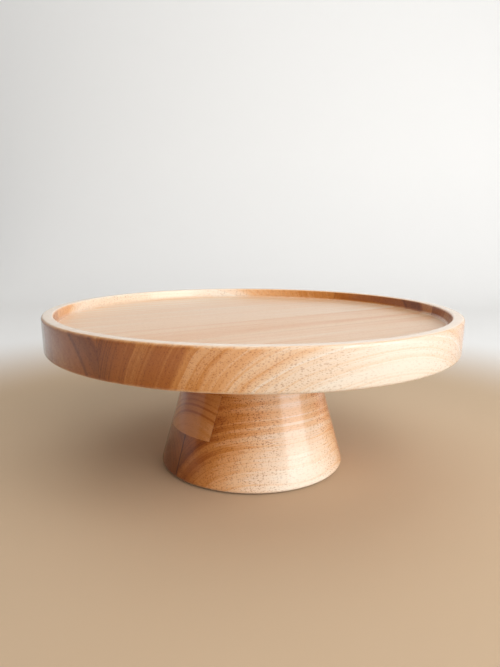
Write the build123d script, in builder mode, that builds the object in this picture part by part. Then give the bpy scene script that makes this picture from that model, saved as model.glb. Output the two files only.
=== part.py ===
"""Turned wooden cake stand: a round rimmed plate screwed onto a conical pedestal.

The plate is a panel of edge-glued boards. The pedestal is turned from three glued
layers, each made of two boards. A hanger bolt stands out of the pedestal's top and
screws into a threaded insert in the plate's underside, with a fibre washer between.

Frame: origin on the table under the pedestal's centre, +Z up, +Y away from the
front. All boards have their grain along one level direction, turned by GRAIN_ANGLE
from +X, and every upright glue seam is parallel to it.
"""

import os
from math import cos, radians, sin

from build123d import *

# Overall sizes, millimetres
PLATE_RADIUS = 150.0
PLATE_THICKNESS = 25.0
RECESS_DEPTH = 8.0
RIM_WIDTH = 8.0
BASE_RADIUS = 70.0
NECK_RADIUS = 44.5
LAYER_THICKNESS = 31.0
LAST_LAYER_THICKNESS = 29.0
PAD_THICKNESS = 1.0
WASHER_THICKNESS = 1.0

# Turned details
WALL_TAPER = 0.8
PLATE_LOWER_ROUND = 2
PLATE_UPPER_ROUND = 2.0
RIM_INNER_ROUND = 1.5
RECESS_WALL_SLOPE = 1.0
RECESS_COVE = 3.0
BASE_ROUND = 2
NECK_CHAMFER = 1.0

# Glue-up: seams are given by their distance from the centre, towards the back
GRAIN_ANGLE = 32.0
PLATE_SEAMS = (-60.0, -9.0, 58.0)
BASE_LAYER_SEAM = -8.0
MIDDLE_LAYER_SEAM = -30.0
TOP_LAYER_SEAM = 14.0

# Screw joint
BOLT_RADIUS = 4.0
BOLT_TIP_CHAMFER = 0.8
BOLT_POINT_LENGTH = 7.0
BOLT_IN_PEDESTAL = 40.0
BOLT_IN_PLATE = 12.0
PILOT_HOLE_DEPTH = 42.0
INSERT_RADIUS = 6.0
INSERT_BORE_RADIUS = 4.05
INSERT_LENGTH = 14.0
INSERT_FLANGE_RADIUS = 8.0
INSERT_FLANGE_THICKNESS = 1.2
WASHER_RADIUS = 30.0
WASHER_BORE_RADIUS = 4.6

# Felt pads under the base
PAD_RADIUS = 8.0
PAD_CIRCLE_RADIUS = 54.0
PAD_COUNT = 4

# Heights worked out from the sizes above
BASE_Z = PAD_THICKNESS
MIDDLE_Z = BASE_Z + LAYER_THICKNESS
TOP_LAYER_Z = MIDDLE_Z + LAYER_THICKNESS
PEDESTAL_TOP_Z = TOP_LAYER_Z + LAST_LAYER_THICKNESS
PLATE_UNDERSIDE_Z = PEDESTAL_TOP_Z + WASHER_THICKNESS
PLATE_TOP_Z = PLATE_UNDERSIDE_Z + PLATE_THICKNESS
FLOOR_Z = PLATE_TOP_Z - RECESS_DEPTH

os.makedirs("parts", exist_ok=True)


# Level directions along the grain and square to it, towards the back
along_grain = Vector(cos(radians(GRAIN_ANGLE)), sin(radians(GRAIN_ANGLE)), 0)
towards_back = Vector(-sin(radians(GRAIN_ANGLE)), cos(radians(GRAIN_ANGLE)), 0)

# Upright half-plane along the grain, where the turned sections are drawn
section_plane = Plane(origin=(0, 0, 0), x_dir=along_grain, z_dir=-towards_back)


def seam_plane(distance):
    """Upright plane along the grain, facing the back, at a distance from the centre."""
    return Plane(origin=towards_back * distance, z_dir=towards_back)


def keep_between(front_seam, back_seam):
    """Cut the part in progress down to the board between two seams."""
    if front_seam is not None:
        split(bisect_by=seam_plane(front_seam), keep=Keep.TOP)
    if back_seam is not None:
        split(bisect_by=seam_plane(back_seam), keep=Keep.BOTTOM)


# Section of the whole plate: rounded wall, flat rim and recessed tray floor
wall_foot = PLATE_RADIUS - WALL_TAPER
rim_inner = PLATE_RADIUS - RIM_WIDTH
floor_edge = rim_inner - RECESS_WALL_SLOPE
with BuildSketch(section_plane) as plate_section:
    with BuildLine():
        Polyline(
            (0, PLATE_UNDERSIDE_Z),
            (wall_foot, PLATE_UNDERSIDE_Z),
            (PLATE_RADIUS, PLATE_TOP_Z),
            (rim_inner, PLATE_TOP_Z),
            (floor_edge, FLOOR_Z),
            (0, FLOOR_Z),
            close=True,
        )
    make_face()
    for x, z, radius in (
        (wall_foot, PLATE_UNDERSIDE_Z, PLATE_LOWER_ROUND),
        (PLATE_RADIUS, PLATE_TOP_Z, PLATE_UPPER_ROUND),
        (rim_inner, PLATE_TOP_Z, RIM_INNER_ROUND),
        (floor_edge, FLOOR_Z, RECESS_COVE),
    ):
        fillet(plate_section.vertices().sort_by_distance((x, z))[0], radius)

# Section of the whole pedestal: a straight cone with a rounded foot
with BuildSketch(section_plane) as pedestal_section:
    with BuildLine():
        Polyline(
            (0, BASE_Z),
            (BASE_RADIUS, BASE_Z),
            (NECK_RADIUS, PEDESTAL_TOP_Z),
            (0, PEDESTAL_TOP_Z),
            close=True,
        )
    make_face()
    foot_corner = pedestal_section.vertices().sort_by_distance((BASE_RADIUS, BASE_Z))[0]
    fillet(foot_corner, BASE_ROUND)
    neck_corner = pedestal_section.vertices().sort_by_distance((NECK_RADIUS, PEDESTAL_TOP_Z))[0]
    chamfer(neck_corner, NECK_CHAMFER)

# Outlines of the stepped seat for the insert and of the bolt's pilot hole
with BuildSketch(Plane.XY.offset(PLATE_UNDERSIDE_Z)) as insert_outline:
    Circle(INSERT_RADIUS)
with BuildSketch(Plane.XY.offset(PLATE_UNDERSIDE_Z)) as flange_outline:
    Circle(INSERT_FLANGE_RADIUS)
with BuildSketch(Plane.XY.offset(PEDESTAL_TOP_Z)) as pilot_outline:
    Circle(BOLT_RADIUS)

# Plate boards, from the front edge to the back edge
plate_boards = (
    ("plate_front_board", None, PLATE_SEAMS[0]),
    ("plate_front_middle_board", PLATE_SEAMS[0], PLATE_SEAMS[1]),
    ("plate_back_middle_board", PLATE_SEAMS[1], PLATE_SEAMS[2]),
    ("plate_back_board", PLATE_SEAMS[2], None),
)
for node, front_seam, back_seam in plate_boards:
    with BuildPart() as plate_board:
        revolve(plate_section.sketch, axis=Axis.Z)
        extrude(insert_outline.sketch, amount=INSERT_LENGTH, mode=Mode.SUBTRACT)
        extrude(flange_outline.sketch, amount=INSERT_FLANGE_THICKNESS, mode=Mode.SUBTRACT)
        keep_between(front_seam, back_seam)
    plate_board.part.label = node
    export_step(plate_board.part, f"parts/{node}.step")

# Pedestal boards: three layers of two, from the table up
pedestal_layers = (
    ("base_layer", BASE_Z, MIDDLE_Z, BASE_LAYER_SEAM),
    ("middle_layer", MIDDLE_Z, TOP_LAYER_Z, MIDDLE_LAYER_SEAM),
    ("top_layer", TOP_LAYER_Z, PEDESTAL_TOP_Z, TOP_LAYER_SEAM),
)
for layer, low_z, high_z, seam in pedestal_layers:
    for side, front_seam, back_seam in (("front", None, seam), ("back", seam, None)):
        node = f"{layer}_{side}_board"
        with BuildPart() as pedestal_board:
            revolve(pedestal_section.sketch, axis=Axis.Z)
            extrude(pilot_outline.sketch, amount=-PILOT_HOLE_DEPTH, mode=Mode.SUBTRACT)
            keep_between(front_seam, back_seam)
            if low_z > BASE_Z:
                split(bisect_by=Plane.XY.offset(low_z), keep=Keep.TOP)
            if high_z < PEDESTAL_TOP_Z:
                split(bisect_by=Plane.XY.offset(high_z), keep=Keep.BOTTOM)
        pedestal_board.part.label = node
        export_step(pedestal_board.part, f"parts/{node}.step")

# Hanger bolt: pointed wood-thread end below, machine-thread end above
bolt_point_z = PEDESTAL_TOP_Z - BOLT_IN_PEDESTAL
bolt_tip_z = PLATE_UNDERSIDE_Z + BOLT_IN_PLATE
with BuildPart() as hanger_bolt:
    with BuildSketch(section_plane):
        with BuildLine():
            Polyline(
                (0, bolt_point_z),
                (BOLT_RADIUS, bolt_point_z + BOLT_POINT_LENGTH),
                (BOLT_RADIUS, bolt_tip_z - BOLT_TIP_CHAMFER),
                (BOLT_RADIUS - BOLT_TIP_CHAMFER, bolt_tip_z),
                (0, bolt_tip_z),
                close=True,
            )
        make_face()
    revolve(axis=Axis.Z)
hanger_bolt.part.label = "hanger_bolt"
export_step(hanger_bolt.part, "parts/hanger_bolt.step")

# Threaded insert: flanged sleeve, flush with the plate's underside
with BuildPart() as threaded_insert:
    extrude(insert_outline.sketch, amount=INSERT_LENGTH)
    extrude(flange_outline.sketch, amount=INSERT_FLANGE_THICKNESS)
    with BuildSketch(Plane.XY.offset(PLATE_UNDERSIDE_Z)):
        Circle(INSERT_BORE_RADIUS)
    extrude(amount=INSERT_LENGTH, mode=Mode.SUBTRACT)
threaded_insert.part.label = "threaded_insert"
export_step(threaded_insert.part, "parts/threaded_insert.step")

# Fibre washer, pinched between pedestal and plate
with BuildPart() as washer:
    with BuildSketch(Plane.XY.offset(PEDESTAL_TOP_Z)):
        Circle(WASHER_RADIUS)
        Circle(WASHER_BORE_RADIUS, mode=Mode.SUBTRACT)
    extrude(amount=WASHER_THICKNESS)
washer.part.label = "fibre_washer"
export_step(washer.part, "parts/fibre_washer.step")

# Felt pads stuck under the base, one node of separate discs
with BuildPart() as felt_pads:
    with BuildSketch(Plane.XY):
        with PolarLocations(PAD_CIRCLE_RADIUS, PAD_COUNT, start_angle=45):
            Circle(PAD_RADIUS)
    extrude(amount=PAD_THICKNESS)
felt_pads.part.label = "felt_pads"
export_step(felt_pads.part, "parts/felt_pads.step")
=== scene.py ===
"""Looks of the turned wooden cake stand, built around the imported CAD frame.

Lengths are metres, apart from the wood's own space, which is in millimetres: there g runs
along the grain, p is square to it towards the back of the stand, and z is up.
"""

import math

import bmesh
import bpy
from mathutils import Euler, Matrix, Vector


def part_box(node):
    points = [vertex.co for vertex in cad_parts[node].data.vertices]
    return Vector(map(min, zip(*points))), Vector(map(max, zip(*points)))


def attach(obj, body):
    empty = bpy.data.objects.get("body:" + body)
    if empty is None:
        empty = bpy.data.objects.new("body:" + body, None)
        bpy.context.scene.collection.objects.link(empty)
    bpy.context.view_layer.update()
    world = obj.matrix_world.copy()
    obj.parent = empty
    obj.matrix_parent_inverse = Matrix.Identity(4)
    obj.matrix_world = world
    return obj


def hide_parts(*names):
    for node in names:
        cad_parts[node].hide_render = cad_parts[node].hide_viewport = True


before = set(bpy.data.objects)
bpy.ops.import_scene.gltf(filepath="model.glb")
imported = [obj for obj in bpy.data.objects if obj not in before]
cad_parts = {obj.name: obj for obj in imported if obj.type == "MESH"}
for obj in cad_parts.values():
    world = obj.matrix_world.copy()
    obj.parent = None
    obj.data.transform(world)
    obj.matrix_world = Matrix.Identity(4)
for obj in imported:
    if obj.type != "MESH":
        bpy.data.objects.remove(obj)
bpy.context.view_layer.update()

MM = 0.001
GRAIN_ANGLE = math.radians(32)
GRAIN_DIRECTION = Vector((math.cos(GRAIN_ANGLE), math.sin(GRAIN_ANGLE), 0))
TOWARDS_BACK = Vector((-math.sin(GRAIN_ANGLE), math.cos(GRAIN_ANGLE), 0))


def low_z(node):
    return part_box(node)[0].z


def high_z(node):
    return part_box(node)[1].z


# ------------------------------------------------------------------ sizes from the frame
PLATE_RADIUS = 149.99 * MM
PLATE_BOTTOM = low_z("plate_front_board")
PLATE_TOP = high_z("plate_front_board")
WALL_FOOT = PLATE_RADIUS - 0.8 * MM
RIM_INNER = PLATE_RADIUS - 8 * MM
FLOOR_EDGE = RIM_INNER - 1 * MM
FLOOR_TOP = PLATE_TOP - 8 * MM
WALL_ROUND = 2.0 * MM
RIM_ROUND = 1.5 * MM
TRAY_COVE = 3.0 * MM
PLATE_SEAMS = (-60 * MM, -9 * MM, 58 * MM)

INSERT_TOP = high_z("threaded_insert")
INSERT_RADIUS = 6 * MM
FLANGE_TOP = PLATE_BOTTOM + 1.2 * MM
FLANGE_RADIUS = (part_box("threaded_insert")[1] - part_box("threaded_insert")[0]).x / 2

BASE_RADIUS = 70 * MM
NECK_RADIUS = 44.5 * MM
FOOT_ROUND = 2.0 * MM
NECK_ROUND = 1.0 * MM
BASE_BOTTOM = low_z("base_layer_front_board")
MIDDLE_BOTTOM = low_z("middle_layer_front_board")
TOP_LAYER_BOTTOM = low_z("top_layer_front_board")
NECK_TOP = high_z("top_layer_front_board")
PILOT_BOTTOM = NECK_TOP - 42 * MM
BOLT_RADIUS = 4 * MM

FINE_SEAM = 0.02 * MM
HALF_SEAM = FINE_SEAM / 2
MERGE_DISTANCE = 1e-7

# ------------------------------------------------------------------ turned meshes
AROUND = 720
ARC_STEPS = 9
SHARP_ANGLE = math.radians(40)


def rounded_outline(corners):
    """Points of an outline in (radius, height) whose corners (r, z, round, edge) are rounded by arcs.

    Each point carries how much it is a worn edge (1 at the middle of an outer round) and how
    much it is an inner corner.
    """
    points = []
    for index, (r, z, round_radius, kind) in enumerate(corners):
        if round_radius == 0:
            points.append((r, z, 0.0, 0.0))
            continue
        corner = Vector((r, z))
        before = (Vector(corners[index - 1][:2]) - corner).normalized()
        after = (Vector(corners[(index + 1) % len(corners)][:2]) - corner).normalized()
        half = before.angle(after) / 2
        centre = corner + (before + after).normalized() * (round_radius / math.sin(half))
        start = corner + before * (round_radius / math.tan(half)) - centre
        end = corner + after * (round_radius / math.tan(half)) - centre
        turn = start.angle_signed(end)
        for step in range(ARC_STEPS + 1):
            share = step / ARC_STEPS
            cosine = math.cos(-turn * share)
            sine = math.sin(-turn * share)
            spoke = Vector((start.x * cosine - start.y * sine, start.x * sine + start.y * cosine))
            strength = math.sin(math.pi * share)
            worn = strength if kind == "edge" else 0.0
            inner = strength if kind == "cove" else 0.0
            points.append((centre.x + spoke.x, centre.y + spoke.y, worn, inner))
    return points


def turned_mesh(corners, closed=False):
    """A bmesh revolved about Z, with the wear of each point in two vertex layers.

    A closed outline, clear of the axis, joins its last point to its first.
    """
    bm = bmesh.new()
    worn_layer = bm.verts.layers.float.new("worn")
    inner_layer = bm.verts.layers.float.new("inner")
    rings = []
    for r, z, worn, inner in rounded_outline(corners):
        count = 1 if r < MERGE_DISTANCE else AROUND
        ring = []
        for index in range(count):
            angle = 2 * math.pi * index / AROUND
            vert = bm.verts.new((r * math.cos(angle), r * math.sin(angle), z))
            vert[worn_layer] = worn
            vert[inner_layer] = inner
            ring.append(vert)
        rings.append(ring)
    if closed:
        rings.append(rings[0])
    for lower, upper in zip(rings, rings[1:]):
        if len(lower) == 1 and len(upper) == 1:
            continue
        for index in range(AROUND):
            after = (index + 1) % AROUND
            if len(lower) == 1:
                bm.faces.new((lower[0], upper[after], upper[index]))
            elif len(upper) == 1:
                bm.faces.new((lower[index], lower[after], upper[0]))
            else:
                bm.faces.new((lower[index], lower[after], upper[after], upper[index]))
    bmesh.ops.recalc_face_normals(bm, faces=bm.faces)
    return bm


def cut_board(bm, front_seam, back_seam):
    """Keep the board between two upright seams (metres from the centre), clear of each by a hair."""
    for seam, side in ((front_seam, 1), (back_seam, -1)):
        if seam is None:
            continue
        bmesh.ops.bisect_plane(
            bm,
            geom=bm.verts[:] + bm.edges[:] + bm.faces[:],
            plane_co=TOWARDS_BACK * (seam + side * HALF_SEAM),
            plane_no=TOWARDS_BACK * side,
            clear_inner=True,
        )
        rim = [edge for edge in bm.edges if edge.is_boundary]
        bmesh.ops.holes_fill(bm, edges=rim, sides=0)
    bmesh.ops.recalc_face_normals(bm, faces=bm.faces)


def turned_board(corners, front_seam, back_seam):
    """One board of a turned piece, closed where it was cut."""
    bm = turned_mesh(corners)
    bmesh.ops.remove_doubles(bm, verts=bm.verts, dist=MERGE_DISTANCE)
    cut_board(bm, front_seam, back_seam)
    return bm


def finish_piece(bm, name, material, body, slot, *nodes):
    """Turn a bmesh into a named piece that rides on a body and stands for CAD nodes."""
    mesh = bpy.data.meshes.new(name)
    bm.to_mesh(mesh)
    bm.free()
    for face in mesh.polygons:
        face.use_smooth = True
    mesh.set_sharp_from_angle(angle=SHARP_ANGLE)
    mesh.materials.append(material)
    piece = bpy.data.objects.new(name, mesh)
    bpy.context.scene.collection.objects.link(piece)
    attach(piece, body)
    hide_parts(*nodes)


# ------------------------------------------------------------------ material building
class Graph:
    """A material's node tree, built one value at a time."""

    def __init__(self, name):
        self.material = bpy.data.materials.new(name)
        self.material.use_nodes = True
        self.tree = self.material.node_tree
        self.shader = self.tree.nodes["Principled BSDF"]

    def node(self, kind, **settings):
        made = self.tree.nodes.new(kind)
        for key, value in settings.items():
            setattr(made, key, value)
        return made

    def feed(self, socket, value):
        if isinstance(value, bpy.types.NodeSocket):
            self.tree.links.new(value, socket)
        else:
            socket.default_value = value

    def put(self, name, value):
        """Set one of the shader's inputs, or link to it."""
        self.feed(self.shader.inputs[name], value)

    def math(self, operation, first, second=0.0, third=0.0):
        made = self.node("ShaderNodeMath", operation=operation)
        for socket, value in zip(made.inputs, (first, second, third)):
            self.feed(socket, value)
        return made.outputs[0]

    def times(self, first, second):
        return self.math("MULTIPLY", first, second)

    def add_times(self, base, value, amount):
        """The base plus some amount of a value."""
        return self.math("MULTIPLY_ADD", value, amount, base)

    def sway(self, base, noise, amount):
        """The base, moved either way by a noise whose middle is 0.5."""
        return self.add_times(base, self.math("SUBTRACT", noise, 0.5), amount)

    def vector_math(self, operation, first, second=(0, 0, 0)):
        made = self.node("ShaderNodeVectorMath", operation=operation)
        self.feed(made.inputs[0], first)
        self.feed(made.inputs[1], second)
        return made.outputs["Value" if operation in ("LENGTH", "DOT_PRODUCT") else "Vector"]

    def split(self, vector):
        made = self.node("ShaderNodeSeparateXYZ")
        self.feed(made.inputs[0], vector)
        return made.outputs

    def texture_space(self, name):
        return self.node("ShaderNodeTexCoord").outputs[name]

    def attribute(self, name):
        return self.node("ShaderNodeAttribute", attribute_name=name).outputs["Fac"]

    def place_mm(self, turn=0.0):
        """The piece's own coordinates in millimetres, turned about Z."""
        return self.mapping(self.texture_space("Object"), scale=(1000, 1000, 1000), turn=turn)

    def mapping(self, vector, scale=(1, 1, 1), move=(0, 0, 0), turn=0.0):
        made = self.node("ShaderNodeMapping")
        self.feed(made.inputs["Vector"], vector)
        made.inputs["Scale"].default_value = scale
        made.inputs["Location"].default_value = move
        made.inputs["Rotation"].default_value = (0, 0, turn)
        return made.outputs[0]

    def noise(self, vector, scale, detail=2.0, roughness=0.5, output="Fac"):
        made = self.node("ShaderNodeTexNoise")
        self.feed(made.inputs["Vector"], vector)
        made.inputs["Scale"].default_value = scale
        made.inputs["Detail"].default_value = detail
        made.inputs["Roughness"].default_value = roughness
        return made.outputs[output]

    def noise_along(self, value, scale, detail=2.0, roughness=0.5):
        """Noise that changes with one number only."""
        made = self.node("ShaderNodeTexNoise", noise_dimensions="1D")
        self.feed(made.inputs["W"], value)
        made.inputs["Scale"].default_value = scale
        made.inputs["Detail"].default_value = detail
        made.inputs["Roughness"].default_value = roughness
        return made.outputs[0]

    def ramp(self, value, stops, interpolation="LINEAR"):
        made = self.node("ShaderNodeValToRGB")
        self.feed(made.inputs[0], value)
        bar = made.color_ramp
        bar.interpolation = interpolation
        while len(bar.elements) < len(stops):
            bar.elements.new(0.5)
        for element, (position, colour) in zip(bar.elements, stops):
            element.position = position
            if isinstance(colour, (int, float)):
                colour = (colour, colour, colour)
            element.color = (*colour, 1.0)
        return made.outputs[0]

    def spread(self, value, low, high, to_low=0.0, to_high=1.0):
        """Map a range onto another, clamped, with eased ends."""
        made = self.node("ShaderNodeMapRange", interpolation_type="SMOOTHSTEP")
        for socket, number in zip(made.inputs, (value, low, high, to_low, to_high)):
            self.feed(socket, number)
        return made.outputs[0]

    def mix(self, factor, first, second, blend="MIX"):
        made = self.node("ShaderNodeMix", data_type="RGBA", blend_type=blend)
        self.feed(made.inputs[0], factor)
        self.feed(made.inputs[6], (*first, 1.0) if isinstance(first, tuple) else first)
        self.feed(made.inputs[7], (*second, 1.0) if isinstance(second, tuple) else second)
        return made.outputs[2]

    def bump(self, height, strength, distance):
        made = self.node("ShaderNodeBump")
        self.feed(made.inputs["Height"], height)
        made.inputs["Strength"].default_value = strength
        made.inputs["Distance"].default_value = distance
        self.put("Normal", made.outputs[0])


# ------------------------------------------------------------------ wood
# Colours of the timber from pale sapwood to dark heartwood, by tone from 0 to 1
TIMBER_COLOURS = (
    (0.00, (0.740, 0.650, 0.535)),
    (0.15, (0.730, 0.560, 0.410)),
    (0.30, (0.710, 0.450, 0.260)),
    (0.45, (0.655, 0.325, 0.130)),
    (0.60, (0.535, 0.205, 0.045)),
    (0.80, (0.360, 0.100, 0.010)),
    (1.00, (0.210, 0.050, 0.004)),
)
PORE_COLOUR = (0.36, 0.17, 0.08)
# Painted shade that darkens the plate's outer wall
OUTER_WALL_PAINTED_SHADE = (0.83, 0.83, 0.83)
# Painted highlight: pale colour for the grazing reflection on the rim's land
LAND_PAINTED_HIGHLIGHT = (0.82, 0.76, 0.66)
GLUE_COLOUR = (0.20, 0.11, 0.06)
RUBBED_EDGE = (0.86, 0.74, 0.58)
INNER_CORNER_DARKENING = (0.66, 0.50, 0.38)

# Lengths of the wood, in millimetres
RING_SPAN = 160.0
OUTER_WALL_RADIUS = 149.0
LAND_HEIGHT = 117.85

END_GRAIN_POWER = 2.0
EVENED_SHARE = 0.78
LAND_SHARE = 0.55
OPEN_SHARE = 0.50
# Sizes of pore: cells to the millimetre, their squeeze along the grain, shift of the pattern
PORE_LAYERS = ((1.7, 0.40, 0.0), (0.95, 0.36, 41.0))


class Timber(Graph):
    """The wood of one board: its own space, what each point is, and the noises that it shares."""

    def __init__(self, name, seed):
        super().__init__(name)
        self.seed = seed
        self.board = self.place_mm(turn=-GRAIN_ANGLE)
        self.across, self.height = self.split(self.board)[1:]
        self.seeded = self.mapping(self.board, move=(seed * 131.7, seed * 57.3, seed * 23.9))
        self.fibres = self.noise(self.stretched(0.02), 0.55, detail=3.0, roughness=0.6)
        self.flecks = self.noise(self.stretched(0.035), 2.6, detail=2.0, roughness=0.6)
        self.worn = self.attribute("worn")
        self.inner = self.attribute("inner")
        self.find_zones()

    def stretched(self, squeeze, move=(0, 0, 0)):
        """The board's space, squeezed along the grain so that patterns run along it."""
        return self.mapping(self.seeded, scale=(squeeze, 1, 1), move=move)

    def find_zones(self):
        """How much each point is end grain, a level face, the plate's outer wall or its rim's land."""
        skin = self.texture_space("Normal")
        self.facing = self.math("ABSOLUTE", self.vector_math("DOT_PRODUCT", skin, GRAIN_DIRECTION))
        lying = self.math("ABSOLUTE", self.vector_math("DOT_PRODUCT", skin, (0, 0, 1)))
        self.level = self.spread(lying, 0.6, 0.95, 0.0, EVENED_SHARE)
        flat = self.vector_math("MULTIPLY", self.board, (1, 1, 0))
        from_axis = self.vector_math("LENGTH", flat)
        self.outer_wall = self.spread(from_axis, OUTER_WALL_RADIUS - 0.5, OUTER_WALL_RADIUS + 0.2)
        self.land = self.spread(self.height, LAND_HEIGHT - 0.25, LAND_HEIGHT + 0.2, 0.0, LAND_SHARE)

    def ring_radius(self, pith, lean, warp):
        """Distance from the pith, bent by slow waves of the grain."""
        waves = self.noise(self.stretched(0.22), 0.022, output="Color")
        waves = self.vector_math("SUBTRACT", waves, (0.5, 0.5, 0.5))
        waves = self.vector_math("MULTIPLY", waves, (0, warp * 2, warp * 2))
        along, across, height = self.split(self.vector_math("ADD", self.board, waves))
        from_pith = self.node("ShaderNodeCombineXYZ")
        pith_across = self.add_times(pith[0], along, lean)
        self.feed(from_pith.inputs[1], self.math("SUBTRACT", across, pith_across))
        self.feed(from_pith.inputs[2], self.math("SUBTRACT", height, pith[1]))
        return self.vector_math("LENGTH", from_pith.outputs[0])

    def ring_tone(self, radius, bands, ring, fine, vein):
        """Broad bands, thin veins, growth rings and fine lines about the pith."""
        tone = self.ramp(self.math("DIVIDE", radius, RING_SPAN), [(r / RING_SPAN, t) for r, t in bands])
        shifted = self.math("ADD", radius, self.seed * 17.0)
        drift = self.math("SUBTRACT", self.noise_along(shifted, 0.14, detail=1.0), 0.5)
        veins = self.spread(self.math("ABSOLUTE", drift), 0.030, 0.004)
        rings = self.noise_along(shifted, 0.32, detail=1.5, roughness=0.6)
        self.lines = self.noise_along(shifted, 1.1, detail=2.0, roughness=0.7)
        tone = self.add_times(tone, veins, vein)
        tone = self.sway(tone, rings, ring * 2)
        return self.sway(tone, self.lines, fine * 2)

    def grain_tone(self, tone, streak):
        """Fibres and flecks along the grain, and slow clouds."""
        cloud = self.noise(self.stretched(0.3), 0.03)
        tone = self.sway(tone, self.fibres, streak * 2)
        tone = self.sway(tone, self.flecks, streak * 1.4)
        return self.sway(tone, cloud, 0.12)

    def faced_tone(self, tone, end, outer, face):
        """Darker end grain and outer wall; level faces evened out by sanding, with long streaks."""
        end_grain = self.math("POWER", self.facing, END_GRAIN_POWER)
        tone = self.add_times(tone, end_grain, end)
        tone = self.add_times(tone, self.outer_wall, outer)
        long_streaks = self.noise(self.stretched(0.03), 0.16, detail=4.0, roughness=0.6)
        sanded = self.sway(face, long_streaks, 0.66)
        return self.add_times(tone, self.math("SUBTRACT", sanded, tone), self.level)

    def add_pores(self, colour, pore):
        """Short open vessels: dashes along the grain and dots on end grain."""
        layers = []
        for size, squeeze, shift in PORE_LAYERS:
            cells = self.node("ShaderNodeTexVoronoi", feature="F1")
            self.feed(cells.inputs["Vector"], self.stretched(squeeze, move=(shift, shift, shift)))
            cells.inputs["Scale"].default_value = size
            chance = self.node("ShaderNodeSeparateColor")
            self.feed(chance.inputs[0], cells.outputs["Color"])
            present = self.math("LESS_THAN", chance.outputs[0], OPEN_SHARE)
            opening = self.spread(cells.outputs["Distance"], 0.48, 0.16)
            layers.append(self.times(opening, present))
        self.pores = self.math("MAXIMUM", *layers)
        strength = self.spread(self.facing, 0.05, 0.45, 0.3 * pore, pore)
        return self.mix(self.times(self.pores, strength), colour, PORE_COLOUR, "MULTIPLY")

    def add_painted_shade_and_highlight(self, colour):
        """Painted shade darkens the plate's outer wall; a painted highlight makes the land of its rim pale.
        """
        # Painted shade: the outer wall is darkened by a fixed share
        colour = self.mix(self.outer_wall, colour, OUTER_WALL_PAINTED_SHADE, "MULTIPLY")
        # Painted highlight: the land of the rim is mixed towards a pale colour
        return self.mix(self.land, colour, LAND_PAINTED_HIGHLIGHT)

    def add_glue(self, colour, seams):
        """Glue lines where boards meet, as (p, half width, strength)."""
        for seam, half_width, strength in seams:
            off = self.math("ABSOLUTE", self.math("SUBTRACT", self.across, seam))
            glue = self.spread(off, half_width * 1.5, half_width * 0.5)
            colour = self.mix(self.times(glue, strength), colour, GLUE_COLOUR, "MULTIPLY")
        return colour

    def add_edge_wear_and_corner_darkening(self, colour):
        """Outer edges are rubbed paler in patches; inner corners are made darker."""
        patches = self.spread(self.noise(self.seeded, 0.25, detail=3.0), 0.35, 0.65)
        paler = self.times(self.times(self.worn, 0.12), self.add_times(0.4, patches, 0.6))
        colour = self.mix(paler, colour, RUBBED_EDGE)
        # Inner corners, the tray's cove, are multiplied darker
        return self.mix(self.times(self.inner, 0.35), colour, INNER_CORNER_DARKENING, "MULTIPLY")

    def lacquer(self):
        """Satin lacquer over grain that still shows in the surface."""
        smudges = self.noise(self.seeded, 0.05, detail=3.0)
        rough = self.sway(0.44, smudges, 0.16)
        rough = self.sway(rough, self.flecks, 0.14)
        rough = self.add_times(rough, self.pores, 0.18)
        self.put("Roughness", self.add_times(rough, self.worn, -0.05))
        self.put("IOR", 1.38)
        self.put("Specular IOR Level", 0.2)
        self.put("Coat Weight", 1.0)
        self.put("Coat IOR", 1.45)
        coat_rough = self.add_times(0.15, self.level, 0.22)
        self.put("Coat Roughness", self.add_times(coat_rough, self.land, -0.22))
        relief = self.add_times(self.times(self.fibres, 0.5), self.pores, -0.8)
        self.bump(self.add_times(relief, self.lines, 0.25), 0.35, 0.06 * MM)


def wood(name, pith, bands, seed, lean=0.0, warp=6.0, ring=0.07, fine=0.05, streak=0.05,
         vein=0.07, pore=0.5, end=0.75, face=0.26, outer=0.0, seams=()):
    """Solid turned timber, cut out of a log whose pith lies at (p, z) millimetres.

    bands gives the tone at some distances from the pith; lean is how far the pith moves in p
    for each millimetre along the grain, and warp how far the rings wander. ring, fine, vein and
    streak are strengths of the figure. end is the tone that end grain adds, and face the tone
    that level faces are sanded to; outer is the tone added on the plate's outer wall. seams
    lists upright glue lines as (p, half width, strength).
    """
    timber = Timber(name, seed)
    radius = timber.ring_radius(pith, lean, warp)
    tone = timber.ring_tone(radius, bands, ring, fine, vein)
    tone = timber.grain_tone(tone, streak)
    tone = timber.faced_tone(tone, end, outer, face)
    colour = timber.ramp(tone, TIMBER_COLOURS, "EASE")
    colour = timber.add_pores(colour, pore)
    colour = timber.add_painted_shade_and_highlight(colour)
    colour = timber.add_glue(colour, seams)
    timber.put("Base Color", timber.add_edge_wear_and_corner_darkening(colour))
    timber.lacquer()
    return timber.material


# Glue lines, and the boards that meet at them
PLATE_GLUE = ((-60, 0.2, 0.4), (-9, 0.2, 0.2), (58, 0.2, 0.4))
BASE_GLUE = ((-8, 0.45, 1.0),)
MIDDLE_GLUE = ((-30, 0.15, 0.25),)
TOP_GLUE = ((14, 0.15, 0.3),)

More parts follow.
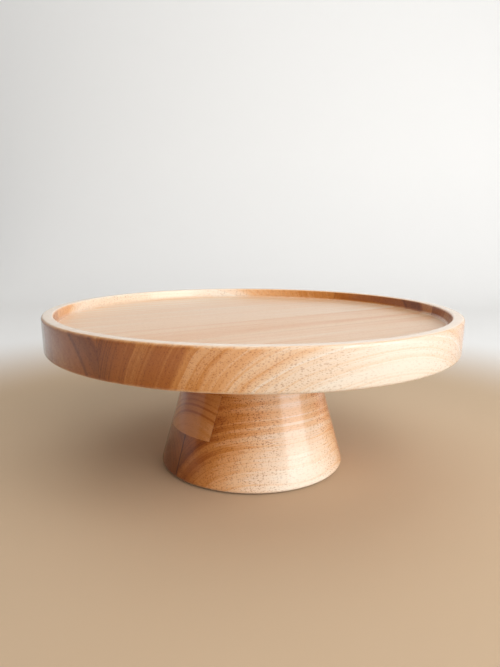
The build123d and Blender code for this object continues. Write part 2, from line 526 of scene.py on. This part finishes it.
PLATE_FRONT = wood(
    "plate_front_wood", pith=(-185, 65), seed=1.0, warp=3.0, ring=0.12, fine=0.10, vein=0.05,
    pore=0.45, end=0.72, face=0.36, seams=PLATE_GLUE[:1],
    bands=((0, 0.0), (52, 0.0), (55.7, 0.0), (56.7, 0.15), (57.7, 0.02), (63, 0.06), (66, 0.08),
           (67.5, 0.13), (69, 0.09), (74, 0.16), (81, 0.21), (82.5, 0.29), (84, 0.20), (91, 0.18),
           (93.5, 0.44), (97, 0.33), (102, 0.34), (108, 0.25), (114, 0.21), (120, 0.27), (127, 0.31)),
)
PLATE_FRONT_MIDDLE = wood(
    "plate_front_middle_wood", pith=(13, 73), seed=2.0, lean=0.06, warp=2.0, ring=0.04, fine=0.03,
    streak=0.04, vein=0.03, pore=0.55, end=0.60, face=0.39, seams=PLATE_GLUE[:2],
    bands=((0, 0.10), (40, 0.12), (46, 0.20), (53, 0.22), (56.5, 0.24), (59, 0.42), (62, 0.34),
           (66, 0.40), (74, 0.44), (79, 0.12)),
)
PLATE_BACK_MIDDLE = wood(
    "plate_back_middle_wood", pith=(36, 30), seed=3.0, warp=4.0, ring=0.03, fine=0.03,
    streak=0.04, vein=0.02, pore=0.55, end=0.68, face=0.29, seams=PLATE_GLUE[1:],
    bands=((0, 0.16), (60, 0.14), (80, 0.18), (86, 0.14), (100, 0.18)),
)
PLATE_BACK = wood(
    "plate_back_wood", pith=(150, 60), seed=4.0, lean=0.2, warp=4.0, ring=0.07, fine=0.05,
    streak=0.04, vein=0.04, pore=0.5, end=0.15, face=0.24, outer=0.14, seams=PLATE_GLUE[2:],
    bands=((0, 0.06), (50, 0.04), (54, 0.10), (57, 0.06), (61, 0.04), (64, 0.02), (66, 0.10),
           (70, 0.32), (85, 0.40), (101, 0.46)),
)
BASE_FRONT = wood(
    "base_front_wood", pith=(-61, -15), seed=5.0, warp=1.5, ring=0.05, pore=0.6, seams=BASE_GLUE,
    bands=((0, 0.0), (20, 0.0), (30, 0.01), (32, 0.09), (34, 0.03), (42, 0.10), (44, 0.13),
           (50, 0.15), (52, 0.06), (54.5, 0.08), (56.5, 0.30), (62, 0.20), (80, 0.25)),
)
BASE_BACK = wood(
    "base_back_wood", pith=(40, -20), seed=6.0, warp=3.0, pore=0.4, seams=BASE_GLUE,
    bands=((0, 0.24), (30, 0.20), (44, 0.28), (60, 0.22), (80, 0.28)),
)
MIDDLE_FRONT = wood(
    "middle_front_wood", pith=(-61, -15), seed=5.0, warp=1.5, ring=0.06, pore=0.8, seams=MIDDLE_GLUE,
    bands=((0, 0.05), (48, 0.07), (50, 0.17), (52, 0.09), (54, 0.11), (56, 0.26), (59, 0.13),
           (62, 0.34), (64, 0.16), (66, 0.32), (70, 0.28), (72, 0.13), (75, 0.30), (79, 0.18),
           (84, 0.28), (90, 0.22)),
)
MIDDLE_BACK = wood(
    "middle_back_wood", pith=(-13, 4), seed=8.0, warp=0.8, ring=0.04, vein=0.04, pore=0.3, end=0.55,
    seams=MIDDLE_GLUE,
    bands=((0, 0.12), (36, 0.12), (42, 0.14), (43.6, 0.18), (44.5, 0.42), (45.6, 0.20),
           (48.2, 0.18), (49.2, 0.42), (50.3, 0.20), (52, 0.20), (53, 0.34), (54, 0.22), (70, 0.26)),
)
TOP_FRONT = wood(
    "top_front_wood", pith=(-61, -15), seed=9.0, warp=3.0, pore=0.5, seams=TOP_GLUE,
    bands=((0, 0.12), (70, 0.15), (78, 0.26), (84, 0.14), (92, 0.28), (110, 0.18)),
)
TOP_BACK = wood(
    "top_back_wood", pith=(30, 20), seed=10.0, warp=3.0, pore=0.5, end=0.6, seams=TOP_GLUE,
    bands=((0, 0.12), (40, 0.22), (52, 0.14), (66, 0.26), (90, 0.18)),
)


# ------------------------------------------------------------------ metal, fibre and felt
def plated_metal(name, colour, roughness):
    """Zinc-plated or cast metal with fine scratches, dull patches and bright thread crests."""
    graph = Graph(name)
    place = graph.place_mm()
    patches = graph.noise(place, 0.35, detail=4.0)
    scratches = graph.noise(graph.mapping(place, scale=(1, 1, 6)), 1.6, detail=3.0, roughness=0.7)
    worn = graph.attribute("worn")
    dull = tuple(channel * 0.62 for channel in colour)
    bright = tuple(min(1.0, channel * 1.25) for channel in colour)
    base = graph.mix(graph.spread(patches, 0.35, 0.7), colour, dull)
    graph.put("Base Color", graph.mix(graph.times(worn, 0.7), base, bright))
    graph.put("Metallic", 1.0)
    graph.put("Roughness", graph.add_times(graph.sway(roughness, patches, 0.30), worn, -0.08))
    graph.bump(scratches, 0.25, 0.05 * MM)
    return graph.material


def pressed_fibre(name):
    """Red-brown vulcanised fibre: mottled, slightly glossy, with a fibrous skin."""
    graph = Graph(name)
    place = graph.place_mm()
    mottle = graph.noise(place, 0.25, detail=4.0, roughness=0.6)
    hairs = graph.noise(graph.mapping(place, scale=(0.3, 2.4, 1)), 0.9, detail=3.0, roughness=0.7)
    worn = graph.attribute("worn")
    base = graph.mix(graph.spread(mottle, 0.3, 0.7), (0.105, 0.042, 0.026), (0.165, 0.070, 0.042))
    base = graph.mix(graph.times(hairs, 0.35), base, (0.22, 0.11, 0.07))
    graph.put("Base Color", graph.mix(graph.times(worn, 0.4), base, (0.26, 0.14, 0.09)))
    graph.put("Roughness", graph.add_times(0.48, hairs, 0.25))
    graph.bump(hairs, 0.4, 0.08 * MM)
    return graph.material


def wool_felt(name):
    """Dark brown felt, matted in every direction, with a soft sheen."""
    graph = Graph(name)
    place = graph.place_mm()
    matted = graph.noise(place, 1.4, detail=5.0, roughness=0.75)
    tufts = graph.noise(place, 0.3, detail=3.0)
    base = graph.mix(matted, (0.050, 0.034, 0.024), (0.150, 0.108, 0.078))
    graph.put("Base Color", graph.mix(graph.times(tufts, 0.5), base, (0.085, 0.060, 0.044)))
    graph.put("Roughness", graph.add_times(0.88, tufts, 0.1))
    graph.put("Sheen Weight", 0.4)
    graph.put("Sheen Roughness", 0.5)
    graph.bump(matted, 0.8, 0.2 * MM)
    return graph.material


ZINC_STEEL = plated_metal("zinc_plated_steel", (0.62, 0.63, 0.65), 0.30)
ZINC_ALLOY = plated_metal("cast_zinc_alloy", (0.55, 0.55, 0.54), 0.42)
FIBRE = pressed_fibre("vulcanised_fibre")
FELT = wool_felt("brown_felt")


# ------------------------------------------------------------------ plate
PLATE_CORNERS = (
    (FLANGE_RADIUS, PLATE_BOTTOM, 0, ""),
    (WALL_FOOT, PLATE_BOTTOM, WALL_ROUND, "edge"),
    (PLATE_RADIUS, PLATE_TOP, WALL_ROUND, "edge"),
    (RIM_INNER, PLATE_TOP, RIM_ROUND, "edge"),
    (FLOOR_EDGE, FLOOR_TOP, TRAY_COVE, "cove"),
    (0, FLOOR_TOP, 0, ""),
    (0, INSERT_TOP, 0, ""),
    (INSERT_RADIUS, INSERT_TOP, 0, ""),
    (INSERT_RADIUS, FLANGE_TOP, 0, ""),
    (FLANGE_RADIUS, FLANGE_TOP, 0, ""),
    (FLANGE_RADIUS, PLATE_BOTTOM, 0, ""),
)
PLATE_BOARDS = (
    ("plate_front_board", PLATE_FRONT),
    ("plate_front_middle_board", PLATE_FRONT_MIDDLE),
    ("plate_back_middle_board", PLATE_BACK_MIDDLE),
    ("plate_back_board", PLATE_BACK),
)


def plate():
    """Four boards side by side, turned as one."""
    edges = (None, *PLATE_SEAMS, None)
    for (node, material), front_seam, back_seam in zip(PLATE_BOARDS, edges, edges[1:]):
        board = turned_board(PLATE_CORNERS, front_seam, back_seam)
        finish_piece(board, "turned_" + node, material, "plate", "plate_wood", node)


# ------------------------------------------------------------------ pedestal
def cone_radius(z):
    """Radius of the pedestal's straight side at a height."""
    share = (z - BASE_BOTTOM) / (NECK_TOP - BASE_BOTTOM)
    return BASE_RADIUS + (NECK_RADIUS - BASE_RADIUS) * share


BASE_CORNERS = (
    (0, BASE_BOTTOM, 0, ""),
    (BASE_RADIUS, BASE_BOTTOM, FOOT_ROUND, "edge"),
    (cone_radius(MIDDLE_BOTTOM), MIDDLE_BOTTOM - HALF_SEAM, 0, ""),
    (0, MIDDLE_BOTTOM - HALF_SEAM, 0, ""),
)
MIDDLE_CORNERS = (
    (0, MIDDLE_BOTTOM + HALF_SEAM, 0, ""),
    (cone_radius(MIDDLE_BOTTOM), MIDDLE_BOTTOM + HALF_SEAM, 0, ""),
    (cone_radius(TOP_LAYER_BOTTOM), TOP_LAYER_BOTTOM - HALF_SEAM, 0, ""),
    (BOLT_RADIUS, TOP_LAYER_BOTTOM - HALF_SEAM, 0, ""),
    (BOLT_RADIUS, PILOT_BOTTOM, 0, ""),
    (0, PILOT_BOTTOM, 0, ""),
)
TOP_CORNERS = (
    (BOLT_RADIUS, TOP_LAYER_BOTTOM + HALF_SEAM, 0, ""),
    (cone_radius(TOP_LAYER_BOTTOM), TOP_LAYER_BOTTOM + HALF_SEAM, 0, ""),
    (NECK_RADIUS, NECK_TOP, NECK_ROUND, "edge"),
    (BOLT_RADIUS, NECK_TOP, 0, ""),
    (BOLT_RADIUS, TOP_LAYER_BOTTOM + HALF_SEAM, 0, ""),
)
PEDESTAL_LAYERS = (
    ("base_layer", BASE_CORNERS, -8 * MM, BASE_FRONT, BASE_BACK),
    ("middle_layer", MIDDLE_CORNERS, -30 * MM, MIDDLE_FRONT, MIDDLE_BACK),
    ("top_layer", TOP_CORNERS, 14 * MM, TOP_FRONT, TOP_BACK),
)


def pedestal():
    """Three layers of two boards, each with its seam at another place, turned as one."""
    for layer, corners, seam, front_wood, back_wood in PEDESTAL_LAYERS:
        for side, front_seam, back_seam, material in (
            ("front", None, seam, front_wood),
            ("back", seam, None, back_wood),
        ):
            node = f"{layer}_{side}_board"
            board = turned_board(corners, front_seam, back_seam)
            finish_piece(board, "turned_" + node, material, "pedestal", "pedestal_wood", node)


# ------------------------------------------------------------------ screw threads
THREAD_AROUND = 96
MACHINE_PITCH = 1.25 * MM
WOOD_PITCH = 3.2 * MM
KNIFE_PITCH = 2.5 * MM


def ridge(share):
    """Height of a thread's V section, 0 at the root and 1 on the crest, over one pitch."""
    wave = 1 - abs(2 * (share % 1.0) - 1)
    return min(1.0, max(0.0, 1.25 * wave - 0.05))


def eased(value, low, high):
    """0 below low, 1 above high, straight in between."""
    return min(1.0, max(0.0, (value - low) / (high - low)))


def evenly(low, high, step):
    count = max(2, round((high - low) / step))
    return [low + (high - low) * index / count for index in range(count + 1)]


def join_rings(bm, lower, upper, flip=False):
    for index in range(len(lower)):
        after = (index + 1) % len(lower)
        corners = (lower[index], lower[after], upper[after], upper[index])
        bm.faces.new(corners[::-1] if flip else corners)


def helical_surface(bm, heights, radius_at, flip=False):
    """A skin of revolution whose radius also turns with the angle; returns its end rings."""
    worn_layer = bm.verts.layers.float.get("worn") or bm.verts.layers.float.new("worn")
    rings = []
    for z in heights:
        ring = []
        for index in range(THREAD_AROUND):
            angle = 2 * math.pi * index / THREAD_AROUND
            radius, crest = radius_at(z, angle)
            vert = bm.verts.new((radius * math.cos(angle), radius * math.sin(angle), z))
            vert[worn_layer] = crest
            ring.append(vert)
        rings.append(ring)
    for lower, upper in zip(rings, rings[1:]):
        join_rings(bm, lower, upper, flip)
    return rings[0], rings[-1]


# ------------------------------------------------------------------ hanger bolt
BOLT_TIP = high_z("hanger_bolt")
BOLT_POINT = low_z("hanger_bolt")
MACHINE_START = NECK_TOP - 4 * MM
WOOD_END = NECK_TOP - 7 * MM
SHANK_RADIUS = 3.35 * MM
MACHINE_ROOT, MACHINE_DEPTH = 3.33 * MM, 0.65 * MM
TIP_LENGTH, TIP_ROUNDING = 0.8 * MM, 0.55 * MM
WOOD_ROOT, WOOD_DEPTH, WOOD_SHARPNESS = 2.75 * MM, 1.2 * MM, 2.5
POINT_OVERSHOOT, POINT_LENGTH, THREAD_GROWTH = 1.2 * MM, 9 * MM, 8 * MM
SHOULDER_LENGTH = 1.5 * MM


def machine_thread(z, turn):
    """Radius and crest of the bolt's upper end, which fades in and has a rounded tip."""
    short_of_tip = eased(BOLT_TIP - z, 0, TIP_LENGTH)
    fade = eased(z, MACHINE_START, MACHINE_START + MACHINE_PITCH) * short_of_tip
    crest = ridge(z / MACHINE_PITCH - turn) * fade
    return MACHINE_ROOT - TIP_ROUNDING * (1 - short_of_tip) + MACHINE_DEPTH * crest, crest


def wood_thread(z, turn):
    """Radius and crest of the bolt's lower end, which tapers to a point."""
    core = WOOD_ROOT * eased(z, BOLT_POINT - POINT_OVERSHOOT, BOLT_POINT + POINT_LENGTH)
    shoulder = (SHANK_RADIUS - WOOD_ROOT) * (1 - eased(WOOD_END - z, 0, SHOULDER_LENGTH))
    fade = eased(z, BOLT_POINT, BOLT_POINT + THREAD_GROWTH) * eased(WOOD_END - z, 0, WOOD_PITCH)
    crest = ridge(z / WOOD_PITCH - turn) ** WOOD_SHARPNESS * fade
    return core + shoulder + WOOD_DEPTH * crest, crest


def hanger_bolt():
    """Wood screw below, plain shank, machine thread above; both threads right-handed."""

    def radius_at(z, angle):
        turn = angle / (2 * math.pi)
        if z >= MACHINE_START:
            return machine_thread(z, turn)
        if z >= WOOD_END:
            return SHANK_RADIUS, 0.15
        return wood_thread(z, turn)

    bm = bmesh.new()
    wood_heights = evenly(BOLT_POINT, WOOD_END, WOOD_PITCH / 14)
    machine_heights = evenly(MACHINE_START, BOLT_TIP, MACHINE_PITCH / 8)
    point, tip = helical_surface(bm, wood_heights + machine_heights, radius_at)
    bm.faces.new(point[::-1])
    bm.faces.new(tip)
    bmesh.ops.recalc_face_normals(bm, faces=bm.faces)
    return bm


# ------------------------------------------------------------------ threaded insert
INSERT_BORE, GROOVE_DEPTH = 4.05 * MM, 0.35 * MM
SOCKET_TOP, SOCKET_STEP, HALF_FLATS = PLATE_BOTTOM + 3.5 * MM, 0.01 * MM, 4.5 * MM
KNIFE_ROOT, KNIFE_DEPTH, KNIFE_FADE = 5.25 * MM, 0.7 * MM, 1.2 * MM
FLANGE_ROUND = 0.25 * MM


def knife_thread(z, angle):
    """Radius and crest of the coarse, sharp thread outside the insert."""
    fade = eased(z, FLANGE_TOP, FLANGE_TOP + KNIFE_PITCH) * eased(INSERT_TOP - z, 0, KNIFE_FADE)
    crest = ridge(z / KNIFE_PITCH - angle / (2 * math.pi)) ** 2 * fade
    return KNIFE_ROOT + KNIFE_DEPTH * crest, crest


def insert_bore(z, angle):
    """Radius and wear of the hole: a hexagon socket at the mouth, then a machine thread."""
    if z < SOCKET_TOP:
        sector = (angle % (math.pi / 3)) - math.pi / 6
        return HALF_FLATS / math.cos(sector), 0.0
    groove = 1 - ridge(z / MACHINE_PITCH - angle / (2 * math.pi))
    fade = eased(z, SOCKET_TOP, SOCKET_TOP + MACHINE_PITCH)
    return INSERT_BORE + GROOVE_DEPTH * groove * fade, (1 - groove) * 0.6


def insert_flange(z, angle):
    """Radius and wear of the flange, rounded where it faces the washer."""
    rounding = FLANGE_ROUND * (1 - eased(z, PLATE_BOTTOM, PLATE_BOTTOM + FLANGE_ROUND))
    return FLANGE_RADIUS - rounding, 0.8 * (1 - eased(z, PLATE_BOTTOM, PLATE_BOTTOM + 2 * FLANGE_ROUND))


def threaded_insert():
    """Flanged insert: coarse knife thread outside, machine thread and a hexagon socket inside."""
    bm = bmesh.new()
    rounded = [PLATE_BOTTOM + FLANGE_ROUND * share for share in (0, 0.48, 1)]
    flange_low, flange_high = helical_surface(bm, rounded + [FLANGE_TOP], insert_flange)
    neck, top = helical_surface(bm, evenly(FLANGE_TOP, INSERT_TOP, KNIFE_PITCH / 14), knife_thread)
    socket_heights = [PLATE_BOTTOM, SOCKET_TOP - SOCKET_STEP]
    bore_heights = evenly(SOCKET_TOP, INSERT_TOP, MACHINE_PITCH / 8)
    mouth, bore_top = helical_surface(bm, socket_heights + bore_heights, insert_bore, flip=True)
    join_rings(bm, flange_high, neck)
    join_rings(bm, top, bore_top)
    join_rings(bm, flange_low, mouth, flip=True)
    bmesh.ops.recalc_face_normals(bm, faces=bm.faces)
    return bm


# ------------------------------------------------------------------ washer and felt pads
WASHER_BORE, WASHER_EDGE = 4.6 * MM, 0.2 * MM


def fibre_washer():
    low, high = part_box("fibre_washer")
    corners = (
        (WASHER_BORE, low.z, WASHER_EDGE, "edge"),
        (high.x, low.z, WASHER_EDGE, "edge"),
        (high.x, high.z, WASHER_EDGE, "edge"),
        (WASHER_BORE, high.z, WASHER_EDGE, "edge"),
    )
    return turned_mesh(corners, closed=True)


PAD_RADIUS, PAD_AROUND = 8 * MM, 120
# The pad's side as shares of its radius and thickness; its fuzzy edge lies beyond FUZZ_FROM
PAD_SIDE = ((0.90, 0.0), (0.965, 0.08), (0.99, 0.3), (0.985, 0.7), (0.955, 0.93), (0.90, 1.0))
FUZZ_FROM, FUZZ_SIZE, PAD_LIMIT = 0.95, 0.010, 0.998
PAD_QUARTERS = ((1, 1), (-1, 1), (-1, -1), (1, -1))


def pad_ring(bm, centre_x, centre_y, z, share, phase_x, phase_y):
    """One ring round a pad; the widest rings waver like felt."""
    ring = []
    for index in range(PAD_AROUND):
        angle = 2 * math.pi * index / PAD_AROUND
        fuzz = FUZZ_SIZE * math.sin(11 * angle + phase_x) * math.sin(29 * angle + phase_y)
        reach = share + fuzz if share > FUZZ_FROM else share
        radius = PAD_RADIUS * min(PAD_LIMIT, reach)
        x = centre_x + radius * math.cos(angle)
        y = centre_y + radius * math.sin(angle)
        ring.append(bm.verts.new((x, y, z)))
    return ring


def felt_pads():
    """Four felt discs with soft, slightly uneven edges."""
    low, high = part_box("felt_pads")
    offset, thickness = high.x - PAD_RADIUS, high.z - low.z
    bm = bmesh.new()
    for side_x, side_y in PAD_QUARTERS:
        centre_x, centre_y = side_x * offset, side_y * offset
        rings = []
        for share, rise in PAD_SIDE:
            z = low.z + thickness * rise
            rings.append(pad_ring(bm, centre_x, centre_y, z, share, 2 * side_x, side_y))
        for lower, upper in zip(rings, rings[1:]):
            join_rings(bm, lower, upper)
        bm.faces.new(rings[0][::-1])
        bm.faces.new(rings[-1])
    bmesh.ops.recalc_face_normals(bm, faces=bm.faces)
    return bm


# ------------------------------------------------------------------ stage
FLOOR_FRONT, FLOOR_BACK, WALL_HEIGHT = -1.6, 1.3, 1.9
SWEEP_RADIUS, SWEEP_STEPS, HALF_WIDTH = 0.4, 24, 2.2
TAN_RADIUS, TAN_FADED, TAN_HEIGHT = 0.30, 0.62, 0.12
TAN_PAPER = ((0.50, 0.365, 0.235), (0.52, 0.385, 0.255))
WHITE_PAPER = (0.84, 0.835, 0.82)
CARD_X, CARD_FRONT, CARD_BACK, CARD_HEIGHT = -0.75, -0.18, 1.0, 0.5
CARD_GREY = (0.45, 0.44, 0.43, 1.0)


def stage_object(name, verts, faces, material):
    mesh = bpy.data.meshes.new(name)
    mesh.from_pydata(verts, [], faces)
    for face in mesh.polygons:
        face.use_smooth = True
    mesh.materials.append(material)
    thing = bpy.data.objects.new(name, mesh)
    bpy.context.scene.collection.objects.link(thing)
    return thing


def studio_paper():
    """Matt paper, tan under the stand, fading to white around it and up the wall."""
    graph = Graph("studio_paper")
    place = graph.texture_space("Object")
    up_the_wall = graph.spread(graph.split(place)[2], 0.0, TAN_HEIGHT)
    flat = graph.vector_math("MULTIPLY", place, (1, 1, 0))
    away = graph.spread(graph.vector_math("LENGTH", flat), TAN_RADIUS, TAN_FADED)
    tan = graph.mix(graph.noise(place, 6.0, detail=3.0), *TAN_PAPER)
    graph.put("Base Color", graph.mix(graph.math("MAXIMUM", up_the_wall, away), tan, WHITE_PAPER))
    graph.put("Roughness", 0.85)
    return graph.material


def card_paint():
    graph = Graph("white_card")
    graph.put("Base Color", CARD_GREY)
    graph.put("Roughness", 0.9)
    return graph.material


def studio_sweep():
    """Floor, a quarter circle and the wall, in one sheet."""
    bend = FLOOR_BACK - SWEEP_RADIUS
    side_view = [(FLOOR_FRONT, 0.0), (bend, 0.0)]
    for step in range(1, SWEEP_STEPS + 1):
        angle = math.pi / 2 * step / SWEEP_STEPS
        side_view.append((bend + SWEEP_RADIUS * math.sin(angle), SWEEP_RADIUS * (1 - math.cos(angle))))
    side_view.append((FLOOR_BACK, WALL_HEIGHT))
    verts = [(side * HALF_WIDTH, y, z) for y, z in side_view for side in (-1, 1)]
    faces = [(2 * k, 2 * k + 1, 2 * k + 3, 2 * k + 2) for k in range(len(side_view) - 1)]
    return stage_object("studio_sweep", verts, faces, studio_paper())


def white_card():
    """Upright card at the left, which the lacquer mirrors."""
    corners = ((CARD_FRONT, 0), (CARD_BACK, 0), (CARD_BACK, CARD_HEIGHT), (CARD_FRONT, CARD_HEIGHT))
    verts = [(CARD_X, y, z) for y, z in corners]
    return stage_object("white_card", verts, [(0, 1, 2, 3)], card_paint())


# ------------------------------------------------------------------ camera and lights
SENSOR_MM = 36.0
LENS_MM = 30.6567
CAMERA_PLACE = (-0.0019, -0.4240, 0.1734)
PITCH_DOWN = math.radians(10.08)
ROLL = math.radians(0.305)
LAMPS_AIM = Vector((0, 0, 0.08))
AIR_COLOUR, AIR_STRENGTH = (1.0, 0.98, 0.96, 1.0), 0.12


def photo_camera():
    """The photograph's point of view, a little above the plate."""
    lens = bpy.data.cameras.new("photo_camera")
    lens.sensor_width = SENSOR_MM
    lens.lens = LENS_MM
    camera = bpy.data.objects.new("photo_camera", lens)
    camera.location = CAMERA_PLACE
    look = Euler((math.pi / 2 - PITCH_DOWN, 0, 0)).to_quaternion()
    camera.rotation_mode = "QUATERNION"
    camera.rotation_quaternion = look @ Euler((0, 0, ROLL)).to_quaternion()
    bpy.context.scene.collection.objects.link(camera)
    return camera


def soft_light(name, azimuth, elevation, distance, width, height, power, mirrored=False):
    """Rectangular lamp aimed at the stand; azimuth 0 is the camera's side, 90 the right.

    Only a mirrored lamp shows as a highlight in the lacquer.
    """
    data = bpy.data.lights.new(name, "AREA")
    data.shape = "RECTANGLE"
    data.size = width
    data.size_y = height
    data.energy = power
    lamp = bpy.data.objects.new(name, data)
    turn = math.radians(azimuth)
    rise = math.radians(elevation)
    level = math.cos(rise)
    towards = Vector((math.sin(turn) * level, -math.cos(turn) * level, math.sin(rise)))
    lamp.location = LAMPS_AIM + towards * distance
    lamp.rotation_mode = "QUATERNION"
    lamp.rotation_quaternion = towards.to_track_quat("Z", "Y")
    lamp.visible_glossy = mirrored
    bpy.context.scene.collection.objects.link(lamp)


def studio_air():
    """Faint warm light from all round."""
    world = bpy.data.worlds.new("studio_air")
    world.use_nodes = True
    background = world.node_tree.nodes["Background"]
    background.inputs["Color"].default_value = AIR_COLOUR
    background.inputs["Strength"].default_value = AIR_STRENGTH
    return world


# ------------------------------------------------------------------ the scene
plate()
pedestal()
finish_piece(hanger_bolt(), "threaded_hanger_bolt", ZINC_STEEL, "pedestal", "zinc_steel", "hanger_bolt")
finish_piece(threaded_insert(), "knife_thread_insert", ZINC_ALLOY, "plate", "zinc_alloy", "threaded_insert")
finish_piece(fibre_washer(), "pressed_fibre_washer", FIBRE, "washer", "fibre", "fibre_washer")
finish_piece(felt_pads(), "soft_felt_pads", FELT, "pedestal", "felt", "felt_pads")

studio = studio_sweep()
card = white_card()

bpy.context.scene.camera = photo_camera()
soft_light("window", 61, 17, distance=1.6, width=0.98, height=1.3, power=16.2, mirrored=True)
soft_light("bright_room", 28, 14, distance=1.7, width=1.5, height=0.7, power=13.4)
soft_light("skylight", 28, 40, distance=1.7, width=1.5, height=0.8, power=13.0)
soft_light("side_fill", 105, 12, distance=1.7, width=1.2, height=1.0, power=4)
soft_light("ceiling", 0, 90, distance=1.7, width=1.8, height=1.8, power=12.4, mirrored=True)
bpy.context.scene.world = studio_air()
bpy.context.scene.view_settings.view_transform = "Standard"
